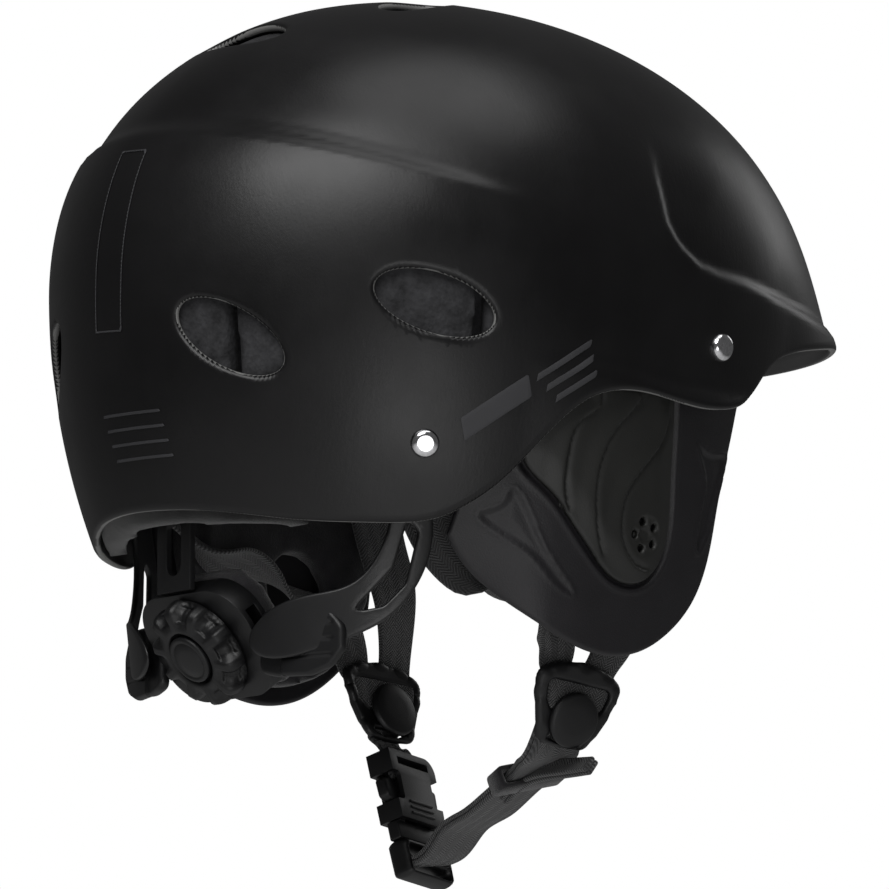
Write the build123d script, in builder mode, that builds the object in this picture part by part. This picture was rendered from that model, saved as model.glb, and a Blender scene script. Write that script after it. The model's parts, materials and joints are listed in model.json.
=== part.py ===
from build123d import *
from math import cos, pi, radians, sin, sqrt
import os

# Water helmet. Millimetres, +Z up. The wearer faces -Y, so the wearer's right is -X.
# The origin is the centre of the head opening, level with the side rim.
# A "turn" is the angle round the head, 0 at the back and growing towards the wearer's right.

os.makedirs("parts", exist_ok=True)

# ------------------------------------------------------------------ driving dimensions
half_width = 109.0  # outer shell at its widest
rear_reach = 121.0  # origin to the back of the shell
front_reach = 128.0  # origin to the forehead, without the brim
rear_power, front_power = 1.8, 2.43  # roundness of the plan outline, 2 is an ellipse
widest_z = 74.0
crown_rise = 97.4  # crown above the widest level
tuck = 0.1134  # share of the width lost between the widest level and z = 0
wall = 3.0
brim_reach, brim_spread, brim_top, brim_edge = 22.0, 50.0, 118.0, 64.0

fit_gap = 0.4  # between the shell and the foam inside it
foam = 9.5
slit = 3.0  # gap between two foam petals
crown_cut = 119.0  # level where the petals meet the crown pad

vent_length, vent_width = 39.0, 18.5
rivet_head, rivet_shank = 9.0, 4.6
webbing, webbing_thick = 20.0, 1.6

flap_inset, flap_thick = 5.5, 3.0
flap_lean, flap_knee = 0.0012, 36.0
ear_foam_thick = 10.0
ear_hole = 24.0
ear_y, ear_z = -20.0, -6.0
sound_holes = (4.2, 5)  # radius of the ring of sound holes, and their number
sound_hole = 2.4

cradle_reach, cradle_half, cradle_power = 85.0, 76.5, 2.4
band_thick = 2.0
dial_face = (0.0, 85.7, -44.3)
dial_tilt = 35.0  # the dial looks back and down
knob_radius, knob_height = 18.0, 8.0
cap_radius = 8.0
pinion_radius, pinion_teeth = 5.0, 10
bearing_radius = 4.5
stud_radius = 2.4
hanger_y, stud_z = 89.5, 14.0  # inner face of the hanger, level of the stud

divider_thick, lock_hub = 3.2, 2.6
lock_disc, lock_drop = 8.5, 5.5
socket_length, socket_width, socket_thick = 24.0, 25.0, 9.0
prong_reach = 17.0


# ------------------------------------------------------------------ shape of the head shell
def reach(turn, inset=0.0):
    """Plan distance from the axis to the shell at its widest level."""
    front = cos(radians(turn)) < 0
    length = (front_reach if front else rear_reach) - inset
    power = front_power if front else rear_power
    along = abs(cos(radians(turn)) / length) ** power
    across = abs(sin(radians(turn)) / (half_width - inset)) ** power
    return (along + across) ** (-1 / power)


def brim(turn, z):
    """How far the brim stands out from the forehead."""
    off_front = abs(180 - abs(turn))
    if off_front >= brim_spread or z >= brim_top:
        return 0.0
    spread = cos(radians(90 * off_front / brim_spread)) ** 1.7
    drop = min((brim_top - z) / (brim_top - brim_edge), 1.1) ** 1.6
    return brim_reach * spread * drop


def radius(turn, z, inset=0.0, with_brim=False):
    """Plan distance from the axis to the surface that lies `inset` inside the shell."""
    out = brim(turn, z) if with_brim else 0.0
    if z < widest_z:
        narrow = 1 - tuck * ((widest_z - z) / widest_z) ** 2
        return reach(turn) * narrow - inset + out
    rise = crown_rise - inset
    return reach(turn, inset) * sqrt(max(1 - ((z - widest_z) / rise) ** 2, 0)) + out


def flap_radius(turn, z, inset):
    """The ear flaps leave the shell's curve and hang straighter below the rim."""
    away = min(max((abs(turn) - 60) / 22, 0), 1)
    away = away * away * (3 - 2 * away)
    knee = 1 - tuck * ((widest_z - flap_knee) / widest_z) ** 2
    straight = knee - flap_lean * (flap_knee - z)
    narrow = 1 - tuck * ((widest_z - z) / widest_z) ** 2
    if z > flap_knee:
        straight = narrow
    return reach(turn) * (narrow + (straight - narrow) * away) - inset


def cradle_radius(turn, z, inset):
    along = abs(cos(radians(turn)) / cradle_reach) ** cradle_power
    across = abs(sin(radians(turn)) / cradle_half) ** cradle_power
    return (along + across) ** (-1 / cradle_power) * (1 + 0.0012 * (z + 45)) - inset


def ring(z, radius_at):
    """A closed plan section, with a point every 15 degrees."""
    points = []
    for step in range(24):
        turn = step * 15 - 180
        away = radius_at(turn, z)
        points.append((-away * sin(radians(turn)), away * cos(radians(turn))))
    with BuildSketch(Plane.XY.offset(z)) as section:
        with BuildLine():
            Spline(*points, periodic=True)
        make_face()
    return section.sketch


def dome(inset, with_brim=False):
    """Sections of the solid that fills the shell up to `inset` inside its outer face."""
    levels = [-16, 2, 20, 38, 54, 66]
    levels += [widest_z + (crown_rise - inset) * sin(radians(a)) for a in (4, 15, 27, 40, 53, 66, 78, 86.5)]
    return [ring(z, lambda turn, z: radius(turn, z, inset, with_brim)) for z in levels]


def shell_point(turn, z):
    away = radius(turn, z)
    return Vector(-away * sin(radians(turn)), away * cos(radians(turn)), z)


def on_shell(turn, z, inset=0.0):
    """A plane on the shell's surface: z_dir points outward, x_dir runs level round the head."""
    here, behind, ahead = (shell_point(t, z) for t in (turn, turn - 0.5, turn + 0.5))
    level = (ahead - behind).normalized()
    slope = shell_point(turn, z + 0.5) - shell_point(turn, z - 0.5)
    out = level.cross(slope).normalized()
    return Plane(origin=here - out * inset, x_dir=level, z_dir=out)


def mirrored(plane):
    """The same plane on the wearer's other side."""
    place, along, out = plane.origin, plane.x_dir, plane.z_dir
    return Plane(
        origin=(-place.X, place.Y, place.Z), x_dir=(-along.X, along.Y, along.Z), z_dir=(-out.X, out.Y, out.Z)
    )


# side view of the lower rim, as (y, z), from behind the shell to in front of the brim
rim_line = [
    (130, 1), (107, 0), (85, -5), (65, -6.5), (50, -5), (42, -0.5), (34, 6.5), (19, 25.5), (9, 33.5),
    (-2, 36.5), (-18, 36), (-36, 34), (-52, 36), (-61, 40.5), (-70, 50), (-83, 56.5), (-105, 61.5),
    (-122, 64.5), (-165, 66.5),
]
# lower edge of the foam, which clears the rivets and the ear flaps
foam_line = [(130, 4), (78, 4), (70, 32), (40, 36), (25, 46), (8, 53), (-22, 55), (-30, 70), (-165, 74)]

# level, turn and tilt of the eleven vents: five pairs and one on the centreline at the back
vent_pairs = [(23.5, 51, -30), (57, 60.5, -17), (58, 168.3, 60), (157, 141, 10), (165, 112, 8)]
vents = [(on_shell(0, 155.5), 0)]
for turn, z, tilt in vent_pairs:
    vents += [(on_shell(turn, z), tilt), (mirrored(on_shell(turn, z)), -tilt)]

rear_rivet = on_shell(55.5, 17.6)
front_rivet = on_shell(112.5, 54)
rivet_planes = {
    "rear_right": rear_rivet,
    "rear_left": mirrored(rear_rivet),
    "front_right": front_rivet,
    "front_left": mirrored(front_rivet),
}

# ------------------------------------------------------------------ outer shell
with BuildPart() as outer_shell:
    loft(dome(0, with_brim=True))
    loft(dome(wall, with_brim=True), mode=Mode.SUBTRACT)
    with BuildSketch(Plane.YZ):
        with BuildLine():
            Spline(*rim_line)
            Polyline(rim_line[-1], (rim_line[-1][0], -40), (rim_line[0][0], -40), rim_line[0])
        make_face()
    extrude(amount=half_width + 20, both=True, mode=Mode.SUBTRACT)
    for plane, tilt in vents:
        with BuildSketch(plane):
            Ellipse(vent_length / 2, vent_width / 2, rotation=tilt)
        extrude(amount=9, both=True, mode=Mode.SUBTRACT)
    for plane in rivet_planes.values():
        with BuildSketch(plane):
            Circle(rivet_shank / 2)
        extrude(amount=6, both=True, mode=Mode.SUBTRACT)
outer_shell.part.label = "outer_shell"
export_step(outer_shell.part, "parts/outer_shell.step")

# ------------------------------------------------------------------ rivets
rivet_grip = {"rear": 10.6, "front": 9.2}  # outer face to inner head
for name, plane in rivet_planes.items():
    grip = rivet_grip[name.split("_")[0]]
    with BuildPart(plane) as rivet:
        Cylinder(rivet_shank / 2, grip, align=(Align.CENTER, Align.CENTER, Align.MAX))
        with Locations((0, 0, -grip)):
            Cylinder(rivet_head / 2, 1.2, align=(Align.CENTER, Align.CENTER, Align.MAX))
        Cylinder(rivet_head / 2, 2.4, align=(Align.CENTER, Align.CENTER, Align.MIN))
        fillet(rivet.edges().group_by(Axis(plane.origin, plane.z_dir))[-1], radius=2.2)
    rivet.part.label = f"rivet_{name}"
    export_step(rivet.part, f"parts/rivet_{name}.step")

# ------------------------------------------------------------------ foam liner
foam_outer, foam_inner = wall + fit_gap, wall + fit_gap + foam
with BuildPart() as foam_bowl:
    loft(dome(foam_outer))
    loft(dome(foam_inner), mode=Mode.SUBTRACT)
    with BuildSketch(Plane.YZ):
        Polygon(*foam_line, (-165, -40), (130, -40), align=None)
    extrude(amount=half_width + 20, both=True, mode=Mode.SUBTRACT)
    with BuildSketch(Plane.XZ):
        with Locations((0, stud_z)):
            Circle(stud_radius)
    extrude(amount=-rear_reach, mode=Mode.SUBTRACT)
    for plane in rivet_planes.values():
        with BuildSketch(plane):
            Circle(rivet_head)
        extrude(amount=-14, mode=Mode.SUBTRACT)

with BuildPart() as liner_crown:
    add(foam_bowl.part)
    split(bisect_by=Plane.XY.offset(crown_cut), keep=Keep.TOP)
liner_crown.part.label = "liner_crown"
export_step(liner_crown.part, "parts/liner_crown.step")

# foam petals round the head, between these turns
petals = {
    "rear": (-23, 23),
    "rear_right": (23, 65),
    "side_right": (65, 113),
    "front_right": (113, 150),
    "front": (150, 210),
    "front_left": (210, 247),
    "side_left": (247, 295),
    "rear_left": (295, 337),
}
for name, (start, end) in petals.items():
    middle, half = radians((start + end) / 2), radians((end - start) / 2)
    apex = slit / 2 / sin(half)
    tip = (-apex * sin(middle), apex * cos(middle))
    corners = [(tip[0] - 260 * sin(a), tip[1] + 260 * cos(a)) for a in (middle - half, middle, middle + half)]
    with BuildPart() as petal:
        add(foam_bowl.part)
        split(bisect_by=Plane.XY.offset(crown_cut - slit), keep=Keep.BOTTOM)
        with BuildSketch(Plane.XY.offset(-40)):
            Polygon(tip, *corners, align=None)
        extrude(amount=200, mode=Mode.INTERSECT)
    petal.part.label = f"liner_{name}"
    export_step(petal.part, f"parts/liner_{name}.step")

# soft binding under the foam at the nape
with BuildPart() as nape_binding:
    loft([ring(z, lambda turn, z: radius(turn, z, foam_outer + 0.6)) for z in (-12, -2, 4)])
    loft([ring(z, lambda turn, z: radius(turn, z, foam_inner - 2)) for z in (-12, -2, 4)], mode=Mode.SUBTRACT)
    with BuildSketch(Plane.YZ):
        Polygon((130, 4), (78, 4), (78, -6), (100, -3), (130, -2), align=None)
    extrude(amount=half_width, both=True, mode=Mode.INTERSECT)
nape_binding.part.label = "nape_binding"
export_step(nape_binding.part, "parts/nape_binding.step")

# ------------------------------------------------------------------ ear flaps
# side views as (y, z); the upper edges are hidden behind the shell
flap_outline = [
    (43, -9), (39, -15), (29, -26), (19, -34), (5, -41), (-10, -44), (-23, -42), (-37, -34), (-47, -23),
    (-52, -11), (-55, 8), (-60, 34), (-62, 48),
]
flap_top = [(-62, 60), (-34, 62), (-26, 46), (12, 45), (28, 35), (38, 15), (42, 2)]
panel_outline = [(27, 15), (9, -3), (-2, -15), (-14, -21), (-25, -17), (-31, -6), (-29, 43), (16, 43), (23, 30)]
foam_outline = [
    (27, -8), (16, -26), (1, -37), (-20, -37), (-38, -25), (-47, -8), (-52, 14), (-55, 38), (7, 39), (20, 24),
]


def flap_wall(inset, thick):
    """Sections of the outer and inner faces of a plate that follows the ear flap."""
    levels = (-52, -20, 8, flap_knee, 50, 64)
    outer = [ring(z, lambda turn, z: flap_radius(turn, z, inset)) for z in levels]
    inner = [ring(z, lambda turn, z: flap_radius(turn, z, inset + thick)) for z in levels]
    return outer, inner


for side, name in ((-1, "right"), (1, "left")):
    front = rivet_planes[f"front_{name}"]

    with BuildPart() as ear_flap:
        outer, inner = flap_wall(flap_inset, flap_thick)
        loft(outer)
        loft(inner, mode=Mode.SUBTRACT)
        with BuildSketch(Plane.YZ):
            with BuildLine():
                Spline(*flap_outline)
                Polyline(flap_outline[-1], *flap_top, flap_outline[0])
            make_face()
        extrude(amount=side * 130, mode=Mode.INTERSECT)
        with BuildSketch(Plane.YZ):
            with Locations((ear_y, ear_z)), PolarLocations(*sound_holes):
                Circle(sound_hole / 2)
        extrude(amount=side * 130, mode=Mode.SUBTRACT)
        with BuildSketch(front):
            Circle(rivet_shank / 2)
        extrude(amount=-20, mode=Mode.SUBTRACT)
    ear_flap.part.label = f"ear_flap_{name}"
    export_step(ear_flap.part, f"parts/ear_flap_{name}.step")

    with BuildPart() as ear_panel:
        outer, inner = flap_wall(flap_inset - 1.1, 1.1)
        loft(outer)
        loft(inner, mode=Mode.SUBTRACT)
        with BuildSketch(Plane.YZ):
            Polygon(*panel_outline, align=None)
            with Locations((ear_y, ear_z)), PolarLocations(*sound_holes):
                Circle(sound_hole / 2, mode=Mode.SUBTRACT)
        extrude(amount=side * 130, mode=Mode.INTERSECT)
    ear_panel.part.label = f"ear_panel_{name}"
    export_step(ear_panel.part, f"parts/ear_panel_{name}.step")

    with BuildPart() as ear_foam:
        outer, inner = flap_wall(flap_inset + flap_thick, ear_foam_thick)
        loft(outer)
        loft(inner, mode=Mode.SUBTRACT)
        with BuildSketch(Plane.YZ):
            with BuildLine():
                Spline(*foam_outline, periodic=True)
            make_face()
            with Locations((ear_y, ear_z)):
                Circle(ear_hole / 2, mode=Mode.SUBTRACT)
        extrude(amount=side * 130, mode=Mode.INTERSECT)
        with BuildSketch(front):
            Circle(rivet_head)
        extrude(amount=-30, mode=Mode.SUBTRACT)
    ear_foam.part.label = f"ear_foam_{name}"
    export_step(ear_foam.part, f"parts/ear_foam_{name}.step")

# ------------------------------------------------------------------ cradle that tightens round the nape
back_down = Vector(0, cos(radians(dial_tilt)), -sin(radians(dial_tilt)))
dial_plane = Plane(origin=dial_face, x_dir=(-1, 0, 0), z_dir=back_down)
pivot = rear_rivet.origin - rear_rivet.z_dir * 8.2  # middle of the band's end
band_outline = [
    (80, -30), (68, -25), (60.5, -15), (57, -3), (60, 12), (60, 24), (48, 24), (47, 10), (45.5, -8), (49, -24),
    (57, -35), (70, -43), (80, -46),
]
band_window = [(66, -33), (56, -19), (53, -4), (50, -8), (52.5, -24), (58, -31)]

for side, name in ((-1, "right"), (1, "left")):
    with BuildPart() as band:
        levels = (-55, -10, 30)
        loft([ring(z, lambda turn, z: cradle_radius(turn, z, 0)) for z in levels])
        loft([ring(z, lambda turn, z: cradle_radius(turn, z, band_thick)) for z in levels], mode=Mode.SUBTRACT)
        with BuildSketch(Plane.YZ.offset(side * 57.4)):
            Polygon(*band_outline, align=None)
            Polygon(*band_window, align=None, mode=Mode.SUBTRACT)
            with Locations((pivot.Y, pivot.Z)):
                Circle(rivet_head / 2 - 0.6, mode=Mode.SUBTRACT)
        extrude(amount=side * 60, mode=Mode.INTERSECT)
    band.part.label = f"band_{name}"
    export_step(band.part, f"parts/band_{name}.step")

with BuildPart() as cradle_hanger:
    with BuildSketch(Plane.XZ.offset(-hanger_y)):
        with Locations((0, 2)):
            Rectangle(17, 50)
        with Locations((0, -9)):
            SlotOverall(18, 7.5, rotation=90, mode=Mode.SUBTRACT)
        with Locations((0, stud_z)):
            SlotOverall(16, 6.4, rotation=90, mode=Mode.SUBTRACT)
    extrude(amount=-2)
    fillet(cradle_hanger.edges().filter_by(Axis.Y).group_by(Axis.Z)[-1], radius=4)
cradle_hanger.part.label = "cradle_hanger"
export_step(cradle_hanger.part, "parts/cradle_hanger.step")

# stud on the shell that the hanger's upper slot slides on
stud_y = radius(0, stud_z, wall) - 0.8
with BuildPart() as hanger_stud:
    with BuildSketch(Plane.XZ.offset(-stud_y)):
        with Locations((0, stud_z)):
            Circle(stud_radius)
    extrude(amount=stud_y - hanger_y + 2)
    with BuildSketch(Plane.XZ.offset(-hanger_y + 1)):
        with Locations((0, stud_z)):
            Circle(4.4)
    extrude(amount=2)
hanger_stud.part.label = "hanger_stud"
export_step(hanger_stud.part, "parts/hanger_stud.step")

housing_face = dial_plane.offset(-knob_height - 0.6)
with BuildPart() as dial_housing:
    with BuildSketch(housing_face):
        RectangleRounded(52, 38, 14)
    extrude(amount=-8)
    with BuildSketch(housing_face.offset(-2)):
        Rectangle(54, 19)
    extrude(amount=-4, mode=Mode.SUBTRACT)
    with BuildSketch(housing_face):
        Circle(bearing_radius + 0.08)
    extrude(amount=-3, mode=Mode.SUBTRACT)
dial_housing.part.label = "dial_housing"
export_step(dial_housing.part, "parts/dial_housing.step")

# the two racks lie in the housing, one on each side of the pinion
rack_level = housing_face.offset(-2.3)
tooth_pitch = 2 * pi * pinion_radius / pinion_teeth
for side, name in ((1, "right"), (-1, "left")):
    with BuildPart() as rack:
        with BuildSketch(rack_level):
            with Locations((side * 5, side * (pinion_radius + 2.2))):
                Rectangle(28, 2.9)
            for tooth in range(-2, 6):
                with Locations((side * tooth * tooth_pitch, side * (pinion_radius + 0.2))):
                    Rectangle(1.2, 1.2)
        extrude(amount=-3.2)
    rack.part.label = f"rack_{name}"
    export_step(rack.part, f"parts/rack_{name}.step")

with BuildPart() as dial_pinion:
    with BuildSketch(rack_level):
        Circle(pinion_radius - 0.7)
        with PolarLocations(pinion_radius - 0.2, pinion_teeth):
            Rectangle(1.3, 1.1)
    extrude(amount=-3.2)
    with BuildSketch(rack_level):
        Circle(bearing_radius)
    extrude(amount=2.9)
dial_pinion.part.label = "dial_pinion"
export_step(dial_pinion.part, "parts/dial_pinion.step")

with BuildPart() as dial_knob:
    with BuildSketch(dial_plane.offset(-knob_height)):
        Circle(knob_radius)
        with PolarLocations(knob_radius + 2.6, 10):
            Circle(4.4, mode=Mode.SUBTRACT)
    extrude(amount=knob_height - 1, taper=6)
    with BuildSketch(dial_plane.offset(-3)):
        Circle(cap_radius)
    extrude(amount=3, mode=Mode.SUBTRACT)
dial_knob.part.label = "dial_knob"
export_step(dial_knob.part, "parts/dial_knob.step")

with BuildPart() as dial_cap:
    with BuildSketch(dial_plane.offset(-3)):
        Circle(cap_radius)
    extrude(amount=3)
    fillet(dial_cap.edges().group_by(Axis(dial_plane.origin, dial_plane.z_dir))[-1], radius=0.8)
dial_cap.part.label = "dial_cap"
export_step(dial_cap.part, "parts/dial_cap.step")

# soft pad between the housing and the nape
with BuildPart() as nape_pad:
    with BuildSketch(housing_face.offset(-8)):
        RectangleRounded(50, 40, 12)
    extrude(amount=-6)
nape_pad.part.label = "nape_pad"
export_step(nape_pad.part, "parts/nape_pad.step")

# ribbed wings that guide the bands out of the housing
wing_arc = 136.0  # plan radius of the nape
for side, name in ((-1, "right"), (1, "left")):
    with BuildPart() as wing:
        with BuildSketch(Plane.XY.offset(-53)):
            with BuildLine():
                outer = CenterArc((0, 80 - wing_arc), wing_arc, 66, 48)
                inner = CenterArc((0, 80 - wing_arc), wing_arc - 4, 66, 48)
                Line(outer @ 0, inner @ 0)
                Line(outer @ 1, inner @ 1)
            make_face()
        extrude(amount=25)
        with BuildSketch(Plane.XZ.offset(-90)):
            with Locations((side * 41.5, -40.5)):
                RectangleRounded(31, 23, 6)
        extrude(amount=60, mode=Mode.INTERSECT)
    wing.part.label = f"wing_{name}"
    export_step(wing.part, f"parts/wing_{name}.step")


# ------------------------------------------------------------------ webbing
def direction(start, end):
    return (Vector(*end) - Vector(*start)).normalized()


def ribbon_plane(place, along, across):
    """A section plane of a strap: x_dir lies across the webbing."""
    flat = Vector(*across) - along * Vector(*across).dot(along)
    return Plane(origin=place, x_dir=flat, z_dir=along)


def ribbon_sections(route, across, width, thick):
    """Sections of a strap through the points of its route."""
    sections = []
    for i, place in enumerate(route):
        along = direction(route[max(i - 1, 0)], route[min(i + 1, len(route) - 1)])
        with BuildSketch(ribbon_plane(place, along, across)) as section:
            Rectangle(width, thick)
        sections.append(section.sketch)
    return sections


# dividers below the ears, where the front and rear straps meet
divider_planes = {
    "right": Plane(origin=(-62, -18, -55), x_dir=(0, -1, -0.12), z_dir=(-1, 0.05, -0.35)),
    "left": Plane(origin=(60, -38, -42), x_dir=(0, 1, 0.05), z_dir=(1, 0.1, -0.3)),
}
# routes from the rivets down to the dividers; the sides hang differently, as the buckle is off centre
strap_routes = {
    "rear_right": [(-68, 48.5, 15.5), (-63.5, 27, -14)],
    "front_right": [(-91, -41, 58), (-80, -41, 46), (-73, -40, 10), (-67, -36, -22)],
    "rear_left": [(67, 48.5, 15.5), (65, 30, 2), (66.5, 4, -6), (64.5, -16, -18)],
    "front_left": [(91, -41, 58), (80, -42, 46), (73, -46, 12), (66, -47, -10)],
}
for name, route in strap_routes.items():
    end, side = name.split("_")
    across_frame = 10 if (end == "front") == (side == "right") else -10
    landing = divider_planes[side].from_local_coords((across_frame, 14, 0))
    inward = 0.3 if side == "right" else -0.3
    width_way = (inward, 0.85, 0.3) if end == "rear" else (0, 1, 0)
    with BuildPart() as strap:
        loft(ribbon_sections(route + [tuple(landing)], width_way, webbing, webbing_thick), ruled=True)
    strap.part.label = f"strap_{name}"
    export_step(strap.part, f"parts/strap_{name}.step")

divider_outline = [(-17, 9), (17, 9), (15.5, 0), (9.5, -15), (-9.5, -15), (-15.5, 0)]
for name, plane in divider_planes.items():
    with BuildPart() as divider:
        with BuildSketch(plane) as frame:
            Polygon(*divider_outline, align=None)
            fillet(frame.vertices(), radius=4)
        extrude(amount=divider_thick / 2, both=True)
        with BuildSketch(plane) as window:
            Polygon((-11.5, 5.2), (11.5, 5.2), (10.8, 0), (7, -1.6), (-7, -1.6), (-10.8, 0), align=None)
            fillet(window.vertices(), radius=1.5)
            with Locations((0, -12)):
                Rectangle(12, 2.4)
            with Locations((0, -lock_drop)):
                Circle(lock_hub)
        extrude(amount=divider_thick, both=True, mode=Mode.SUBTRACT)
    divider.part.label = f"divider_{name}"
    export_step(divider.part, f"parts/divider_{name}.step")

    # a large disc in front and a washer behind, joined through the frame, clamp the webbing
    lock_plane = Plane(plane.from_local_coords((0, -lock_drop, 0)), x_dir=plane.x_dir, z_dir=plane.z_dir)
    with BuildPart() as divider_lock:
        with BuildSketch(lock_plane.offset(-divider_thick / 2 - 0.3)):
            Circle(lock_hub - 0.08)
        extrude(amount=divider_thick + 0.6)
        with BuildSketch(lock_plane.offset(divider_thick / 2 + 0.3)):
            Circle(lock_disc)
        extrude(amount=3)
        with BuildSketch(lock_plane.offset(-divider_thick / 2 - 0.3)):
            Circle(4)
        extrude(amount=-1.2)
    divider_lock.part.label = f"divider_lock_{name}"
    export_step(divider_lock.part, f"parts/divider_lock_{name}.step")

# ------------------------------------------------------------------ side-release buckle
# the buckle hangs from the left divider; x_dir runs across it and z_dir out of its face
hang = direction((56, -41, -60), (41, -41, -104))
buckle_across = Vector(0.3, -0.954, -0.1)
buckle_across = (buckle_across - hang * buckle_across.dot(hang)).normalized()
buckle = Plane(origin=(55.5, -40.5, -62), x_dir=buckle_across, z_dir=hang.cross(buckle_across))
# on this plane the local y axis points back up the strap, so positions down the buckle are negative

with BuildPart() as buckle_socket:
    with BuildSketch(buckle) as body:
        with Locations((0, -socket_length / 2)):
            Rectangle(socket_width, socket_length)
        fillet(body.vertices().group_by(Axis(buckle.origin, buckle.y_dir))[-1], radius=5)
    extrude(amount=socket_thick / 2, both=True)
    with BuildSketch(buckle):
        with Locations((0, -15)):
            Rectangle(socket_width - 3, 18.2)
    extrude(amount=(socket_thick - 3.4) / 2, both=True, mode=Mode.SUBTRACT)
    with BuildSketch(buckle):
        for side in (-1, 1):
            with Locations((side * socket_width / 2, -12.5)):
                RectangleRounded(8, 10, 1.5)
        with Locations((0, -3.6)):
            Rectangle(socket_width - 8, 2.6)
    extrude(amount=socket_thick, both=True, mode=Mode.SUBTRACT)
buckle_socket.part.label = "buckle_socket"
export_step(buckle_socket.part, "parts/buckle_socket.step")

with BuildPart() as buckle_clip:
    with BuildSketch(buckle):
        with Locations((0, -socket_length - 3.4)):
            Rectangle(socket_width, 6.2)
        with Locations((0, -socket_length + 4)):
            Rectangle(4, prong_reach - 2)
    extrude(amount=2.2, both=True)
buckle_clip.part.label = "buckle_clip"
export_step(buckle_clip.part, "parts/buckle_clip.step")

# half outline of the squeeze arms, out from the clip's centreline and along it
prong_foot = -socket_length - 0.3
prong_outline = [
    (10.4, prong_foot), (10.4, -17.6), (14.2, -15.6), (14.6, -9.9), (11, -8.7), (7.6, -10.5), (7, prong_foot),
]
for side, name in ((-1, "rear"), (1, "front")):
    with BuildPart() as prong:
        with BuildSketch(buckle) as arm:
            with BuildLine():
                Polyline(*[(side * x, y) for x, y in prong_outline], close=True)
            make_face()
        extrude(amount=2, both=True)
    prong.part.label = f"prong_{name}"
    export_step(prong.part, f"parts/prong_{name}.step")

# ladder lock at the clip's end, which holds the adjustable webbing
ladder_plane = Plane(origin=buckle.origin + hang * 37, x_dir=buckle.x_dir, z_dir=buckle.z_dir)
with BuildPart() as ladder_lock:
    with BuildSketch(ladder_plane) as frame:
        Rectangle(26, 13)
        fillet(frame.vertices(), radius=3)
        for y in (-3, 2):
            with Locations((0, y)):
                Rectangle(20.8, 2.6, mode=Mode.SUBTRACT)
    extrude(amount=4, both=True)
ladder_lock.part.label = "ladder_lock"
export_step(ladder_lock.part, "parts/ladder_lock.step")

# ------------------------------------------------------------------ chin strap
chin_route = [
    (34.2, -40.7, -94.8), (20, -38, -88), (2, -34, -84), (-16, -29.8, -79), (-42, -23.2, -71.5), (-51, -18, -68),
]
across_chin = (0.3, -0.95, -0.1)
with BuildPart() as chin_strap:
    loft(ribbon_sections(chin_route, across_chin, webbing, 2 * webbing_thick), ruled=True)
chin_strap.part.label = "chin_strap"
export_step(chin_strap.part, "parts/chin_strap.step")

# sliding loop that tidies the strap's tail
keeper_place = (Vector(*chin_route[3]) + Vector(*chin_route[4])) * 0.5
keeper_plane = ribbon_plane(keeper_place, direction(chin_route[3], chin_route[4]), across_chin)
with BuildPart() as strap_keeper:
    with BuildSketch(keeper_plane):
        Rectangle(webbing + 5, 2 * webbing_thick + 4.2)
        Rectangle(webbing + 0.8, 2 * webbing_thick + 0.8, mode=Mode.SUBTRACT)
    extrude(amount=4.5, both=True)
strap_keeper.part.label = "strap_keeper"
export_step(strap_keeper.part, "parts/strap_keeper.step")

# short webbing loop between the left divider and the socket
loop_route = [(58.8, -39.3, -57.6), (57.2, -40, -59.8), (56.4, -40.2, -60.9)]
with BuildPart() as socket_loop:
    loft(ribbon_sections(loop_route, buckle_across, 16, 2.0), ruled=True)
socket_loop.part.label = "socket_loop"
export_step(socket_loop.part, "parts/socket_loop.step")
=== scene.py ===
import json

import bmesh
import bpy
import numpy as np
from mathutils import Matrix, Vector
from mathutils.geometry import delaunay_2d_cdt
from mathutils.kdtree import KDTree


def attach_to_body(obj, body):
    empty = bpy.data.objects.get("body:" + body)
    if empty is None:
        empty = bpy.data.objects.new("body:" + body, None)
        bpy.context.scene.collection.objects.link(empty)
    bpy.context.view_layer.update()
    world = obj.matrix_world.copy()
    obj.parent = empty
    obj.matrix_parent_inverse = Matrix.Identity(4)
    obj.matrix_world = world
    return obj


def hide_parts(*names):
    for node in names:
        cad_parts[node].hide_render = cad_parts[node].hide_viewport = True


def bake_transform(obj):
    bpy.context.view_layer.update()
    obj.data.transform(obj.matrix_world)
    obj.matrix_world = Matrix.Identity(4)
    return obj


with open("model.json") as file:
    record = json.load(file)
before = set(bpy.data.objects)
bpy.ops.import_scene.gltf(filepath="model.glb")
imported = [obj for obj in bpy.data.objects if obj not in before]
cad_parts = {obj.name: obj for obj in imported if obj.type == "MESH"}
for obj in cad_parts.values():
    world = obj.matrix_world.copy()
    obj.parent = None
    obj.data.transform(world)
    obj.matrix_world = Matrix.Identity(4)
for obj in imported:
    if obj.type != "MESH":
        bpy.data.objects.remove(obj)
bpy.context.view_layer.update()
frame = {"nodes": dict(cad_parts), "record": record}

# A water helmet: hard vented shell, foam petals, ear flaps, nape cradle with a dial, and a webbing harness.
# Measures below are in millimetres in the row frame; meshes are made in metres.
# The wearer faces -Y, and +X is the wearer's left.
MM = 0.001

# ---------------------------------------------------------------- camera, light and floor
scene = bpy.context.scene
view_back = Vector((-0.7803, 0.6108, -0.1346)).normalized()
view_right = Vector((-0.6164, -0.7874, 0)).normalized()
view_up = view_back.cross(view_right)
view_target = Vector((-5.05, -11.66, 31.4)) * MM
view_distance = 3.5

camera = bpy.data.objects.new("camera", bpy.data.cameras.new("camera"))
camera.data.lens = 446.7  # a long lens seen from far away, as in a product picture
camera.data.clip_end = 50
turned = Matrix((view_right, view_up, view_back)).transposed()
camera.matrix_world = Matrix.Translation(view_target + view_back * view_distance) @ turned.to_4x4()
scene.collection.objects.link(camera)
scene.camera = camera


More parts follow.
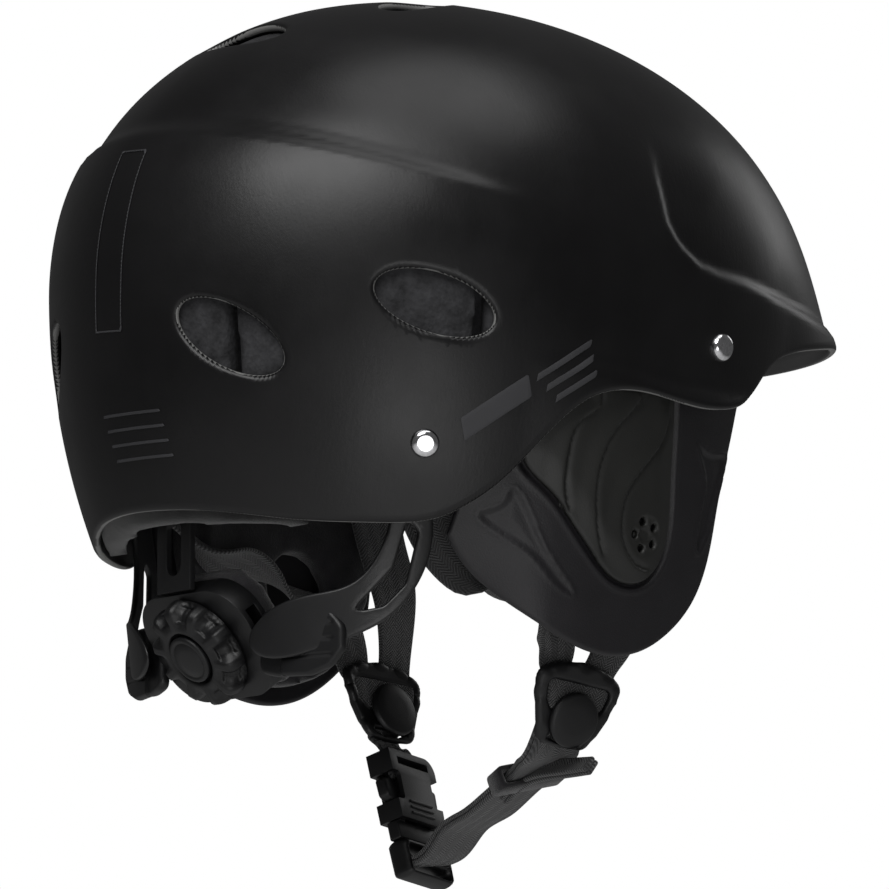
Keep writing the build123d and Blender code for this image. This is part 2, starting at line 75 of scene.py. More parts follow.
def area_light(name, place, size, power, aim=(0, 0, 0.06)):
    """A round soft lamp, with its place, size and aim in metres."""
    lamp = bpy.data.lights.new(name, "AREA")
    lamp.shape, lamp.size, lamp.energy = "DISK", size, power
    holder = bpy.data.objects.new(name, lamp)
    holder.location = place
    holder.rotation_euler = (Vector(aim) - Vector(place)).to_track_quat("-Z", "Y").to_euler()
    scene.collection.objects.link(holder)


area_light("key", (-0.95, 1.35, 1.5), 1.6, 34)
area_light("top", (-0.5, -0.1, 2.1), 1.5, 11)
area_light("low", (-1.7, 0.9, -0.6), 1.0, 7, (0, 0, -0.02))
area_light("front", (0.2, -2.0, 0.9), 0.9, 2.5)

world = bpy.data.worlds.new("studio")
scene.world = world
world.use_nodes = True
# the backdrop is brighter than the light it gives, as a lit paper sweep far behind the object is
sky = world.node_tree
backdrop = sky.nodes["Background"]
backdrop.inputs["Color"].default_value = (1, 1, 1, 1)
seen = sky.nodes.new("ShaderNodeLightPath")
strength = sky.nodes.new("ShaderNodeMapRange")
strength.inputs["To Min"].default_value, strength.inputs["To Max"].default_value = 0.09, 1.0
sky.links.new(seen.outputs["Is Camera Ray"], strength.inputs["Value"])
sky.links.new(strength.outputs["Result"], backdrop.inputs["Strength"])
scene.view_settings.view_transform = "Standard"


# ---------------------------------------------------------------- materials
def node_material(name, rough, metallic=0.0, sheen=0.0, specular=0.5):
    """A material with its constant values set on the shader, its node tree and the shader."""
    material = bpy.data.materials.new(name)
    material.use_nodes = True
    shader = material.node_tree.nodes["Principled BSDF"]
    constants = {"Roughness": rough, "Metallic": metallic, "Sheen Weight": sheen, "Specular IOR Level": specular}
    set_inputs(shader, constants)
    return material, material.node_tree, shader


def set_inputs(node, values):
    for socket, value in values.items():
        node.inputs[socket].default_value = value


def shades(colour, low, high):
    """A darker and a lighter copy of a colour."""
    return tuple(c * low for c in colour), tuple(c * high for c in colour)


def noise(tree, vector, scale, detail=3.0, rough=0.55):
    node = tree.nodes.new("ShaderNodeTexNoise")
    set_inputs(node, {"Scale": scale, "Detail": detail, "Roughness": rough})
    tree.links.new(vector, node.inputs["Vector"])
    return node.outputs["Fac"]


def mix_colour(tree, factor, low, high, start=0.35, end=0.65):
    ramp = tree.nodes.new("ShaderNodeValToRGB")
    ramp.color_ramp.elements[0].position, ramp.color_ramp.elements[1].position = start, end
    ramp.color_ramp.elements[0].color = (*low, 1)
    ramp.color_ramp.elements[1].color = (*high, 1)
    tree.links.new(factor, ramp.inputs["Fac"])
    return ramp.outputs["Color"]


def spread(tree, factor, low, high):
    """Maps a pattern's middle values to low..high."""
    node = tree.nodes.new("ShaderNodeMapRange")
    set_inputs(node, {"From Min": 0.3, "From Max": 0.7, "To Min": low, "To Max": high})
    tree.links.new(factor, node.inputs["Value"])
    return node.outputs["Result"]


def math_node(tree, operation, a, b=0.0, c=0.0):
    node = tree.nodes.new("ShaderNodeMath")
    node.operation = operation
    for value, socket in zip((a, b, c), node.inputs):
        if isinstance(value, (int, float)):
            socket.default_value = value
        else:
            tree.links.new(value, socket)
    return node.outputs["Value"]


def bump(tree, height, distance, strength=1.0, onto=None):
    node = tree.nodes.new("ShaderNodeBump")
    set_inputs(node, {"Strength": strength, "Distance": distance})
    tree.links.new(height, node.inputs["Height"])
    if onto is not None:
        tree.links.new(onto, node.inputs["Normal"])
    return node.outputs["Normal"]


def object_space(tree):
    return tree.nodes.new("ShaderNodeTexCoord").outputs["Object"]


def moulded(name, colour, rough, grain=0.7, depth=0.00003, patchy=0.25, scuffs=0.0, specular=0.5):
    """Moulded plastic: a fine grain, cloudy gloss and faint scuffs. The grain size is in millimetres."""
    material, tree, shader = node_material(name, rough, specular=specular)
    space = object_space(tree)
    clouds = noise(tree, space, 28, 4)
    fine = noise(tree, space, 1 / (grain * MM), 2)
    tree.links.new(mix_colour(tree, clouds, *shades(colour, 1 - patchy, 1 + patchy)), shader.inputs["Base Color"])
    tree.links.new(spread(tree, clouds, rough - 0.05, rough + 0.06), shader.inputs["Roughness"])
    normal = bump(tree, fine, depth)
    if scuffs:
        stretch = tree.nodes.new("ShaderNodeMapping")
        set_inputs(stretch, {"Scale": (30, 260, 70), "Rotation": (0.5, 0.3, 0.8)})
        tree.links.new(space, stretch.inputs["Vector"])
        lines = noise(tree, stretch.outputs["Vector"], 3, 6, 0.7)
        normal = bump(tree, spread(tree, lines, 0, 1), scuffs, 0.5, normal)
    tree.links.new(normal, shader.inputs["Normal"])
    return material


def metal(name):
    material, tree, shader = node_material(name, 0.12, metallic=1.0)
    space = object_space(tree)
    fine = noise(tree, space, 900, 3)
    tree.links.new(mix_colour(tree, fine, (0.62, 0.62, 0.63), (0.78, 0.78, 0.8)), shader.inputs["Base Color"])
    tree.links.new(spread(tree, fine, 0.08, 0.2), shader.inputs["Roughness"])
    tree.links.new(bump(tree, fine, 0.000008), shader.inputs["Normal"])
    return material


def closed_foam(name, colour):
    """Closed-cell foam: small cells over a soft mottle."""
    material, tree, shader = node_material(name, 0.9, specular=0.25)
    space = object_space(tree)
    cells = tree.nodes.new("ShaderNodeTexVoronoi")
    cells.inputs["Scale"].default_value = 700
    tree.links.new(space, cells.inputs["Vector"])
    mottle = noise(tree, space, 160, 5, 0.7)
    tree.links.new(mix_colour(tree, mottle, *shades(colour, 0.55, 1.5)), shader.inputs["Base Color"])
    normal = bump(tree, cells.outputs["Distance"], 0.0003, 0.8)
    tree.links.new(bump(tree, mottle, 0.0006, 0.5, normal), shader.inputs["Normal"])
    return material


def lining(name, colour):
    """Brushed lining cloth with a short nap."""
    material, tree, shader = node_material(name, 0.95, sheen=0.35, specular=0.2)
    space = object_space(tree)
    nap = noise(tree, space, 1500, 4, 0.8)
    wear = noise(tree, space, 90, 4)
    tree.links.new(mix_colour(tree, wear, *shades(colour, 0.6, 1.35)), shader.inputs["Base Color"])
    tree.links.new(bump(tree, nap, 0.0004, 0.7), shader.inputs["Normal"])
    return material


def herringbone(name, colour, rib=1.15, column=5.0, yarn=0.55):
    """Herringbone webbing, drawn along the strap's own flat coordinates. The sizes are in millimetres."""
    material, tree, shader = node_material(name, 0.8, sheen=0.25, specular=0.3)
    flat = tree.nodes.new("ShaderNodeUVMap")
    flat.uv_map = "flat"
    split = tree.nodes.new("ShaderNodeSeparateXYZ")
    tree.links.new(flat.outputs["UV"], split.inputs["Vector"])
    across, along = split.outputs["X"], split.outputs["Y"]
    zigzag = math_node(tree, "PINGPONG", across, column / 2)
    phase = math_node(tree, "ADD", zigzag, along)
    wave = math_node(tree, "SINE", math_node(tree, "MULTIPLY", phase, 6.283 / rib))
    thread = math_node(tree, "SINE", math_node(tree, "MULTIPLY", across, 6.283 / yarn))
    weave = math_node(tree, "MULTIPLY_ADD", thread, 0.25, wave)
    lifted = math_node(tree, "MULTIPLY_ADD", weave, 0.4, 0.5)
    # the ribs are painted lighter and the grooves darker, following the bump's height: painted highlight and painted
    # shade on yarn of one colour
    dark, light = shades(colour, 0.45, 1.5)
    tree.links.new(mix_colour(tree, lifted, dark, light, 0.1, 0.95), shader.inputs["Base Color"])
    fuzz = noise(tree, object_space(tree), 2500, 2)
    normal = bump(tree, fuzz, 0.0001, 0.6)
    tree.links.new(bump(tree, lifted, 0.0004, 0.9, normal), shader.inputs["Normal"])
    return material


shell_black = moulded(
    "shell_black", (0.0038, 0.0036, 0.0040), 0.36, 0.9, 0.00002, 0.15, scuffs=0.00003, specular=0.38
)
flap_black = moulded("flap_black", (0.0080, 0.0072, 0.0088), 0.50, 0.55, 0.00009, 0.2)
panel_olive = moulded("panel_olive", (0.0110, 0.0112, 0.0100), 0.48, 0.5, 0.00005, 0.15)
nylon = moulded("nylon", (0.006, 0.006, 0.0065), 0.42, 0.45, 0.00004, 0.25, specular=0.4)
band_plastic = moulded("band_plastic", (0.008, 0.008, 0.0085), 0.38, 0.8, 0.00003, 0.25)
chrome = metal("chrome")
foam_grey = closed_foam("foam_grey", (0.03, 0.03, 0.032))
lining_black = lining("lining_black", (0.018, 0.017, 0.019))
binding_black = lining("binding_black", (0.012, 0.012, 0.012))
webbing_black = herringbone("webbing_black", (0.045, 0.045, 0.046))
# light grey for the shell's rim and vent edges: a painted highlight that stands in for the bright surroundings
# reflected on the rounded edge
rim_highlight_grey = moulded("rim_highlight_grey", (0.20, 0.20, 0.195), 0.5, 0.7, 0.00001, 0.1)
print_grey = moulded("print_grey", (0.030, 0.030, 0.033), 0.6, 0.6, 0.00001, 0.2)


# ---------------------------------------------------------------- making meshes
def shade_smooth(mesh):
    mesh.polygons.foreach_set("use_smooth", [True] * len(mesh.polygons))


def paint(mesh, material):
    mesh.materials.clear()
    mesh.materials.append(material)


def finish_piece(name, vertices, faces, material, body, replaced=(), flat=None):
    """Makes an object from points in millimetres, and ties it to its body and CAD nodes."""
    mesh = bpy.data.meshes.new(name)
    mesh.from_pydata([tuple(v) for v in np.asarray(vertices) * MM], [], faces)
    if flat is not None:
        layer = mesh.uv_layers.new(name="flat")
        corner = np.empty(len(mesh.loops), dtype=np.int32)
        mesh.loops.foreach_get("vertex_index", corner)
        layer.data.foreach_set("uv", np.asarray(flat, dtype=np.float32)[corner].ravel())
    tidy = bmesh.new()
    tidy.from_mesh(mesh)
    bmesh.ops.recalc_face_normals(tidy, faces=tidy.faces)
    tidy.to_mesh(mesh)
    tidy.free()
    mesh.materials.append(material)
    shade_smooth(mesh)
    piece = bpy.data.objects.new(name, mesh)
    scene.collection.objects.link(piece)
    return attach(piece, body, replaced)


def attach(piece, body, replaced=()):
    if body:
        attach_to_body(piece, body)
    if replaced:
        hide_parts(*replaced)
    return piece


def smooth_line(points, count, closed=False):
    """Points along a smooth curve through the given ones (a natural or periodic cubic spline)."""
    points = np.asarray(points, float)
    if closed:
        points = np.vstack([points[-3:], points, points[:4]])
    steps = np.linalg.norm(np.diff(points, axis=0), axis=1)
    at = np.concatenate([[0], np.cumsum(steps)])
    n = len(points)
    system, right = np.eye(n), np.zeros_like(points)
    for i in range(1, n - 1):
        a, b = steps[i - 1], steps[i]
        system[i, i - 1 : i + 2] = a, 2 * (a + b), b
        right[i] = 6 * ((points[i + 1] - points[i]) / b - (points[i] - points[i - 1]) / a)
    bend = np.linalg.solve(system, right)
    if closed:
        where = np.linspace(at[3], at[n - 4], count, endpoint=False)
    else:
        where = np.linspace(0, at[-1], count)
    i = np.clip(np.searchsorted(at, where, side="right") - 1, 0, n - 2)
    h, u = steps[i], where - at[i]
    w = h - u
    h, u, w = h[:, None], u[:, None], w[:, None]
    return (
        bend[i] * w**3 / (6 * h) + bend[i + 1] * u**3 / (6 * h)
        + (points[i] / h - bend[i] * h / 6) * w + (points[i + 1] / h - bend[i + 1] * h / 6) * u
    )


def rounded(corners, radius, count=5):
    """A polygon with its corners rounded."""
    corners = [np.asarray(c, float) for c in corners]
    out = []
    for i, corner in enumerate(corners):
        before, after = corners[i - 1] - corner, corners[(i + 1) % len(corners)] - corner
        a, b = before / np.linalg.norm(before), after / np.linalg.norm(after)
        half = np.arccos(np.clip(a @ b, -1, 1)) / 2
        cut = min(radius / np.tan(half), 0.49 * min(np.linalg.norm(before), np.linalg.norm(after)))
        start, end = corner + a * cut, corner + b * cut
        for s in np.linspace(0, 1, count):
            out.append((1 - s) ** 2 * start + 2 * s * (1 - s) * corner + s**2 * end)
    return np.array(out)


def round_loop(count):
    """Points of a circle of radius 1."""
    a = np.linspace(0, 2 * np.pi, count, endpoint=False)
    return np.column_stack([np.cos(a), np.sin(a)])


def resample(loop, step):
    """A closed outline at even steps."""
    loop = np.vstack([loop, loop[:1]])
    at = np.concatenate([[0], np.cumsum(np.linalg.norm(np.diff(loop, axis=0), axis=1))])
    count = max(int(round(at[-1] / step)), 12)
    where = np.linspace(0, at[-1], count, endpoint=False)
    return np.column_stack([np.interp(where, at, loop[:, k]) for k in range(2)])


def inside(points, loop):
    """Which flat points lie inside a closed outline."""
    x, y = points[:, 0][:, None], points[:, 1][:, None]
    ax, ay = loop[:, 0], loop[:, 1]
    bx, by = np.roll(ax, -1), np.roll(ay, -1)
    crossing = (ay > y) != (by > y)
    at = ax + (y - ay) * (bx - ax) / np.where(by == ay, 1e-12, by - ay)
    return (crossing & (x < at)).sum(axis=1) % 2 == 1


def nearest(points, targets):
    """Distance of each point from the nearest target."""
    points, targets = (np.pad(places, ((0, 0), (0, 3 - places.shape[1]))) for places in (points, targets))
    tree = KDTree(len(targets))
    for i, place in enumerate(targets):
        tree.insert(place, i)
    tree.balance()
    return np.array([tree.find(place)[2] for place in points])


def distance_to(flat, line):
    """Distance of flat points from the nearest point of a line."""
    return np.min(np.linalg.norm(flat[:, None, :] - line[None, :, :], axis=2), axis=1)


def vertex_normals(points, triangles):
    a, b, c = (points[triangles[:, k]] for k in range(3))
    face = np.cross(b - a, c - a)
    out = np.zeros_like(points)
    for k in range(3):
        np.add.at(out, triangles[:, k], face)
    return out / np.maximum(np.linalg.norm(out, axis=1, keepdims=True), 1e-12)


def thicken(points, triangles, depth_in, thick, edge):
    """A closed skin round a surface: full thickness inside, rounded off to nothing at its borders.
    depth_in is each point's distance from the nearest border."""
    normals = vertex_normals(points, triangles)
    share = np.clip(depth_in / edge, 0, 1)
    half = thick / 2 * np.sqrt(1 - (1 - share) ** 2)
    middle = points - normals * thick / 2
    border = depth_in <= 1e-9
    under = np.arange(len(points))
    under[~border] = len(points) + np.arange((~border).sum())
    outer = middle + normals * half[:, None]
    inner = (middle - normals * half[:, None])[~border]
    faces = [tuple(t) for t in triangles] + [tuple(under[t][::-1]) for t in triangles]
    return np.vstack([outer, inner]), faces, border


def triangulate(points, borders):
    """Triangles between the borders, which are lists of point numbers in order. The first is the outside."""
    edges = [(a, b) for loop in borders for a, b in zip(loop, loop[1:] + loop[:1])]
    made = delaunay_2d_cdt([Vector(p) for p in points], edges, [], 0, 1e-7)
    places = np.array([tuple(p) for p in made[0]])
    triangles = np.array([f for f in made[2] if len(f) == 3])
    flat = places[triangles]
    area = np.cross(flat[:, 1] - flat[:, 0], flat[:, 2] - flat[:, 0])
    triangles[area < 0] = triangles[area < 0][:, ::-1]
    label = np.zeros(len(places), int)
    for number, loop in enumerate(borders, 1):
        for i in loop:
            label[i] = number
    on = label[triangles]
    doubtful = (on > 0).all(axis=1)
    keep = np.ones(len(triangles), bool)
    centres = places[triangles[doubtful]].mean(axis=1)
    good = np.ones(len(centres), bool)
    for number, loop in enumerate(borders, 1):
        within = inside(centres, places[loop])
        good &= within if number == 1 else ~within
    keep[doubtful] = good
    return places, triangles[keep & (np.abs(area) > 1e-9)]


far_inside = 99.0  # stands for a point well away from any border


def plate(
    name, outlines, lift, thick, edge, step, material, body, replaced=(), relief=None, turn_over=False
):
    """A curved plate with rounded edges. outlines are closed loops in flat millimetre coordinates,
    the first outside and the rest holes, and lift takes flat points to the outer surface. turn_over
    is for a surface whose flat coordinates run clockwise when seen from outside."""
    points, depth, borders = [], [], []
    rings = edge * (1 - np.cos(np.radians([0, 22, 45, 68, 90])))
    loops = [resample(np.asarray(loop, float), step) for loop in outlines]
    every = np.vstack([resample(loop, step / 3) for loop in loops])
    for number, loop in enumerate(loops):
        ahead = np.roll(loop, -1, axis=0) - np.roll(loop, 1, axis=0)
        normal = np.column_stack([-ahead[:, 1], ahead[:, 0]])
        normal /= np.linalg.norm(normal, axis=1, keepdims=True)
        if inside(loop[:1] + normal[:1] * step * 0.2, loop)[0] != (number == 0):
            normal = -normal
        borders.append(list(range(len(points), len(points) + len(loop))))
        points += list(loop)
        depth += [0.0] * len(loop)
        for d in rings[1:]:
            ring = loop + normal * d
            ring = ring[nearest(ring, every) > 0.8 * d]
            points += list(ring)
            depth += [d] * len(ring)
    low, high = loops[0].min(axis=0), loops[0].max(axis=0)
    rows = []
    for j, v in enumerate(np.arange(low[1], high[1], step * 0.866)):
        us = np.arange(low[0] + (step / 2 if j % 2 else 0), high[0], step)
        rows.append(np.column_stack([us, np.full(len(us), v)]))
    grid = np.vstack(rows)
    keep = inside(grid, loops[0])
    for loop in loops[1:]:
        keep &= ~inside(grid, loop)
    grid = grid[keep]
    grid = grid[nearest(grid, every) > edge + 0.55 * step]
    points += list(grid)
    depth += [far_inside] * len(grid)
    flat, triangles = triangulate(points, borders)
    if turn_over:
        triangles = triangles[:, ::-1]
    surface = lift(flat)
    if relief is not None:
        surface = surface + vertex_normals(surface, triangles) * relief(flat)[:, None]
    vertices, faces, border = thicken(surface, triangles, np.array(depth), thick, edge)
    flat = np.vstack([flat, flat[~border]])
    return finish_piece(name, vertices, faces, material, body, replaced, flat)


def tube(name, sections, material, body, replaced=(), flat=None, closed=False):
    """A closed solid through a row of sections that have the same number of points."""
    count, around = len(sections), len(sections[0])
    vertices = [p for section in sections for p in section]
    faces = []
    for i in range(count - (0 if closed else 1)):
        j = (i + 1) % count
        for k in range(around):
            m = (k + 1) % around
            faces.append((i * around + k, i * around + m, j * around + m, j * around + k))
    if not closed:
        faces += [tuple(range(around))[::-1], tuple((count - 1) * around + k for k in range(around))]
    return finish_piece(name, vertices, faces, material, body, replaced, flat)


def local_frame(origin, x_dir, z_dir):
    """(origin, x, y, z) of a work plane."""
    z = Vector(z_dir).normalized()
    x = Vector(x_dir)
    x = (x - z * x.dot(z)).normalized()
    return np.array(origin, float), np.array(x), np.array(z.cross(x)), np.array(z)


def on_plane(plane, height=0.0):
    origin, x, y, z = plane
    return lambda flat: origin + flat[:, :1] * x + flat[:, 1:2] * y + height * z


def turned_solid(name, plane, profile, material, body, replaced=(), count=96, scallop=None):
    """A solid turned about a plane's z axis. profile is (radius, height); scallop changes the radius."""
    origin, x, y, z = plane
    sections = []
    for r, h in profile:
        section = []
        for k in range(count):
            a = 2 * np.pi * k / count
            cut, sink = scallop(a, r, h) if scallop else (0, 0)
            section.append(origin + x * (r - cut) * np.cos(a) + y * (r - cut) * np.sin(a) + z * (h - sink))
        sections.append(section)
    return tube(name, sections, material, body, replaced)


def ribbon(name, route, across, width, thick, body, replaced=(), samples=10, offset=0.0):
    """A webbing strap with rounded selvedges that follows a route. across and width may be lists, with
    one entry for each point of the route."""
    line = smooth_line(route, samples * (len(route) - 1) + 1)
    ways = across if isinstance(across, list) else [across] * len(route)
    ways = np.array([np.interp(np.linspace(0, len(ways) - 1, len(line)), range(len(ways)),
                               [w[k] for w in ways]) for k in range(3)]).T
    ahead = np.gradient(line, axis=0)
    ahead /= np.linalg.norm(ahead, axis=1, keepdims=True)
    at = np.concatenate([[0], np.cumsum(np.linalg.norm(np.diff(line, axis=0), axis=1))])
    widths = width if isinstance(width, list) else [width] * len(route)
    widths = np.interp(np.linspace(0, len(widths) - 1, len(line)), range(len(widths)), widths)
    r = thick / 2
    sections, flat = [], []
    for p, t, way, s, wide in zip(line, ahead, ways, at, widths):
        half = wide / 2
        outline = [(-half + r * 0.25, r * 0.8), (-half + r, r)]
        outline += [(u * (half - 2 * r), r) for u in (-0.66, -0.33, 0, 0.33, 0.66)]
        outline += [(half - r, r), (half - r * 0.25, r * 0.8), (half, 0)]
        outline = outline + [(u, -v) for u, v in outline[:-1][::-1]] + [(-half, 0)]
        side = way - t * (way @ t)
        side /= np.linalg.norm(side)
        up = np.cross(t, side)
        sections.append([p + side * u + up * (v + offset) for u, v in outline])
        flat += [(u, s) for u, v in outline]
    return tube(name, sections, webbing_black, body, replaced, flat)


def soft_copy(name, node, material, body, voxel, smooth, inflate=0.0):
    """A padded piece in the space of its CAD solid: remeshed so that its edges round over, and
    puffed by a short cloth simulation where it is stuffed. voxel and inflate, the most that a point
    may move, are in millimetres."""
    mesh = frame["nodes"][node].data.copy()
    piece = bpy.data.objects.new(name, mesh)
    scene.collection.objects.link(piece)
    remesh = piece.modifiers.new("remesh", "REMESH")
    remesh.mode, remesh.voxel_size = "VOXEL", voxel * MM
    relax = piece.modifiers.new("relax", "SMOOTH")
    relax.factor, relax.iterations = 0.5, smooth
    bake(piece)
    if inflate:
        rest = np.array([v.co for v in piece.data.vertices])
        cloth = piece.modifiers.new("cloth", "CLOTH")
        cloth.settings.use_pressure = True
        cloth.settings.uniform_pressure_force = 4
        cloth.settings.effector_weights.gravity = 0
        for frame_number in range(1, 21):
            scene.frame_set(frame_number)
        bake(piece)
        scene.frame_set(1)
        moved = np.array([v.co for v in piece.data.vertices]) - rest
        size = np.linalg.norm(moved, axis=1, keepdims=True)
        moved *= np.minimum(1, inflate * MM / np.maximum(size, 1e-9))
        for vertex, place in zip(piece.data.vertices, rest + moved):
            vertex.co = place
    divide = piece.modifiers.new("divide", "SUBSURF")
    divide.levels = divide.render_levels = 1
    bake(piece)
    paint(piece.data, material)
    shade_smooth(piece.data)
    attach(piece, body, (node,))
    return piece


def bake(piece):
    """Applies an object's modifiers to its mesh."""
    shape = piece.evaluated_get(bpy.context.evaluated_depsgraph_get())
    made = bpy.data.meshes.new_from_object(shape)
    piece.modifiers.clear()
    piece.data = made


def eased(node, material, width, segments):
    """A CAD node with softened edges, as its own piece."""
    mesh = frame["nodes"][node].data.copy()
    mesh.materials.clear()
    shape = bmesh.new()
    shape.from_mesh(mesh)
    bmesh.ops.remove_doubles(shape, verts=shape.verts, dist=0.00002)
    bmesh.ops.dissolve_limit(shape, angle_limit=0.02, verts=shape.verts, edges=shape.edges)
    sharp = [e for e in shape.edges if len(e.link_faces) == 2 and e.calc_face_angle(0) > 0.6]
    bmesh.ops.bevel(
        shape, geom=sharp, offset=width * MM, segments=segments, profile=0.5, affect="EDGES", clamp_overlap=True
    )
    bmesh.ops.remove_doubles(shape, verts=shape.verts, dist=0.000005)
    bmesh.ops.triangulate(shape, faces=[f for f in shape.faces if len(f.verts) > 4])
    shape.to_mesh(mesh)
    shape.free()
    mesh.materials.append(material)
    shade_smooth(mesh)
    mesh.set_sharp_from_angle(angle=0.7)
    piece = bpy.data.objects.new(node + "_finished", mesh)
    scene.collection.objects.link(piece)
    return attach(piece, body_of[node], (node,))


body_of = {
    node: body for body, nodes in frame["record"]["behaviour"]["bodies"].items() for node in nodes
}

# ---------------------------------------------------------------- the shell's surface
half_width, rear_reach, front_reach = 109.0, 121.0, 128.0
rear_power, front_power = 1.8, 2.43
widest_z, crown_rise, tuck, wall = 74.0, 97.4, 0.1134, 3.0
crown_arc = 163.0  # length of the flat map from the crown to the widest level
rim_line = [
    (130, 1), (107, 0), (85, -5), (65, -6.5), (50, -5), (42, -0.5), (34, 6.5), (19, 25.5), (9, 33.5),
    (-2, 36.5), (-18, 36), (-36, 34), (-52, 36), (-61, 40.5), (-70, 50), (-83, 56.5), (-105, 61.5),
    (-122, 64.5), (-165, 66.5),
]
vent_pairs = [(23.5, 51, -30), (57, 60.5, -17), (58, 168.3, 60), (157, 141, 10), (165, 112, 8)]
vent_length, vent_width = 39.0, 18.5


def reach(t):
    """Distance of the plain shell from the axis at its widest level; t is 0 at the back."""
    c, s = np.abs(np.cos(t)), np.abs(np.sin(t))
    rear = ((c / rear_reach) ** rear_power + (s / half_width) ** rear_power) ** (-1 / rear_power)
    front = ((c / front_reach) ** front_power + (s / half_width) ** front_power) ** (-1 / front_power)
    return np.where(np.cos(t) < 0, front, rear)


def level_share(z):
    """Share of the widest reach at a level."""
    low = 1 - tuck * ((widest_z - z) / widest_z) ** 2
    high = np.sqrt(np.maximum(1 - ((z - widest_z) / crown_rise) ** 2, 0))
    return np.where(z < widest_z, low, high)


def brim(t, z):
    off = np.abs(180 - np.abs(np.degrees(t)))
    spread_out = np.maximum(np.cos(np.radians(90 * np.minimum(off, 50) / 50)), 0) ** 1.7
    drop = np.clip((118 - z) / 54, 0, 1.1) ** 1.6
    return 22 * spread_out * drop


def step_up(x, width):
    x = np.clip(x / width, 0, 1)
    return x * x * (3 - 2 * x)


def styling(t, z):
    """Height of the moulded ledges over the plain surface, in millimetres: the side crease, the recess
    above the brim with the swell under it, and the flare over the ear."""
    turn = np.abs(np.degrees(t))
    crease = 98.7 + 14.8 * np.cos(t) + 8.0 * np.cos(2 * t)
    under = crease - z
    fade = 1 - step_up(turn - 54, 22)
    ledge = np.where(under > 0, 1.9 * step_up(under, 2.6) * np.exp(-((under / 24) ** 2)), 0)
    ledge -= 0.9 * step_up(-under + 0.3, 2.6) * np.exp(-((under / 15) ** 2))
    front_line = np.interp(turn, [101, 104.5, 107, 111.5, 118.5, 126.5, 139.5, 155, 180],
                           [84, 82.4, 79.2, 77.3, 75.9, 73.6, 71.2, 70.0, 69.5])
    side_line = np.interp(z, [79, 82.4, 86.2, 91.7, 105, 125], [107, 104.5, 102.5, 101, 101, 103])
    ahead = (turn - side_line) * np.radians(1) * reach(t)
    over = np.minimum(ahead, z - front_line)
    recess = 1.5 * step_up(over + 1.2, 3.0) * np.exp(-((np.maximum(over, 0) / 26) ** 2)) * (1 - step_up(z - 96, 26))
    swell = 0.8 * step_up(front_line - z + 1, 3.5) * np.exp(-(((front_line - z) / 16) ** 2)) * step_up(turn - 100, 6)
    valley = np.interp(turn, [82, 93.5, 103, 113.5, 119.5], [47.5, 45.6, 42.8, 41.9, 41.9])
    flare = 1.7 * step_up(valley - z, 7) * step_up(turn - 72, 12) * (1 - step_up(turn - 118, 14))
    return ledge * fade - recess + swell + flare


def shell_at(t, z, share=None):
    """Points of the finished outer surface, in millimetres."""
    out = reach(t) * (level_share(z) if share is None else share)
    out = out + brim(t, z) + styling(t, z) * np.clip(out / 40, 0, 1)
    return np.column_stack([-out * np.sin(t), out * np.cos(t), z])


def from_map(flat):
    """Turn, level and share of reach of points on the flat map of the shell."""
    away = np.hypot(flat[:, 0], flat[:, 1])
    t = np.arctan2(-flat[:, 0], flat[:, 1])
    angle = np.radians(90) * (1 - away / crown_arc)
    z = np.where(away < crown_arc, widest_z + crown_rise * np.sin(angle), widest_z - (away - crown_arc))
    share = np.where(away < crown_arc, np.cos(angle), level_share(z))
    return t, z, share


def to_map(t, z, out):
    """Points on the flat map, from turn, level and distance from the axis."""
    angle = np.arctan2((z - widest_z) / crown_rise, out / reach(t))
    away = np.where(z > widest_z, crown_arc * (1 - np.degrees(angle) / 90), crown_arc + widest_z - z)
    return np.column_stack([-away * np.sin(t), away * np.cos(t)])


def shell_plane(turn, z):
    """A work plane on the shell, x level and z outward."""
    t = np.radians([turn, turn - 0.5, turn + 0.5, turn, turn])
    zs = np.array([z, z, z, z - 0.5, z + 0.5])
    out = reach(t) * level_share(zs)
    p = np.column_stack([-out * np.sin(t), out * np.cos(t), zs])
    return local_frame(p[0], p[2] - p[1], np.cross(p[2] - p[1], p[4] - p[3]))


def mirror_plane(plane):
    origin, x, y, z = plane
    flip = np.array([-1, 1, 1])
    return local_frame(origin * flip, x * flip, z * flip)


def onto_shell(points, normal):
    """Slides points along a direction until they meet the shell."""
    slide = np.zeros(len(points))

    def miss(s):
        p = points + s[:, None] * normal
        out = np.hypot(p[:, 0], p[:, 1]) / reach(np.arctan2(-p[:, 0], p[:, 1]))
        high = out**2 + ((p[:, 2] - widest_z) / crown_rise) ** 2 - 1
        low = (out / level_share(np.minimum(p[:, 2], widest_z))) ** 2 - 1
        return np.where(p[:, 2] > widest_z, high, low)

    for _ in range(12):
        slope = (miss(slide + 0.01) - miss(slide - 0.01)) / 0.02
        slide -= np.clip(miss(slide) / slope, -4, 4)
    p = points + slide[:, None] * normal
    return to_map(np.arctan2(-p[:, 0], p[:, 1]), p[:, 2], np.hypot(p[:, 0], p[:, 1]))


def rim_level(t):
    line = smooth_line(rim_line, 600)[::-1]
    z = np.full(len(t), 30.0)
    for _ in range(40):
        y = shell_at(t, z)[:, 1]
        z = 0.5 * z + 0.5 * np.interp(y, line[:, 0], line[:, 1])
    return z


vents = [(shell_plane(0, 155.5), 0)]
for turn, z, tilt in vent_pairs:
    vents += [(shell_plane(turn, z), tilt), (mirror_plane(shell_plane(turn, z)), -tilt)]


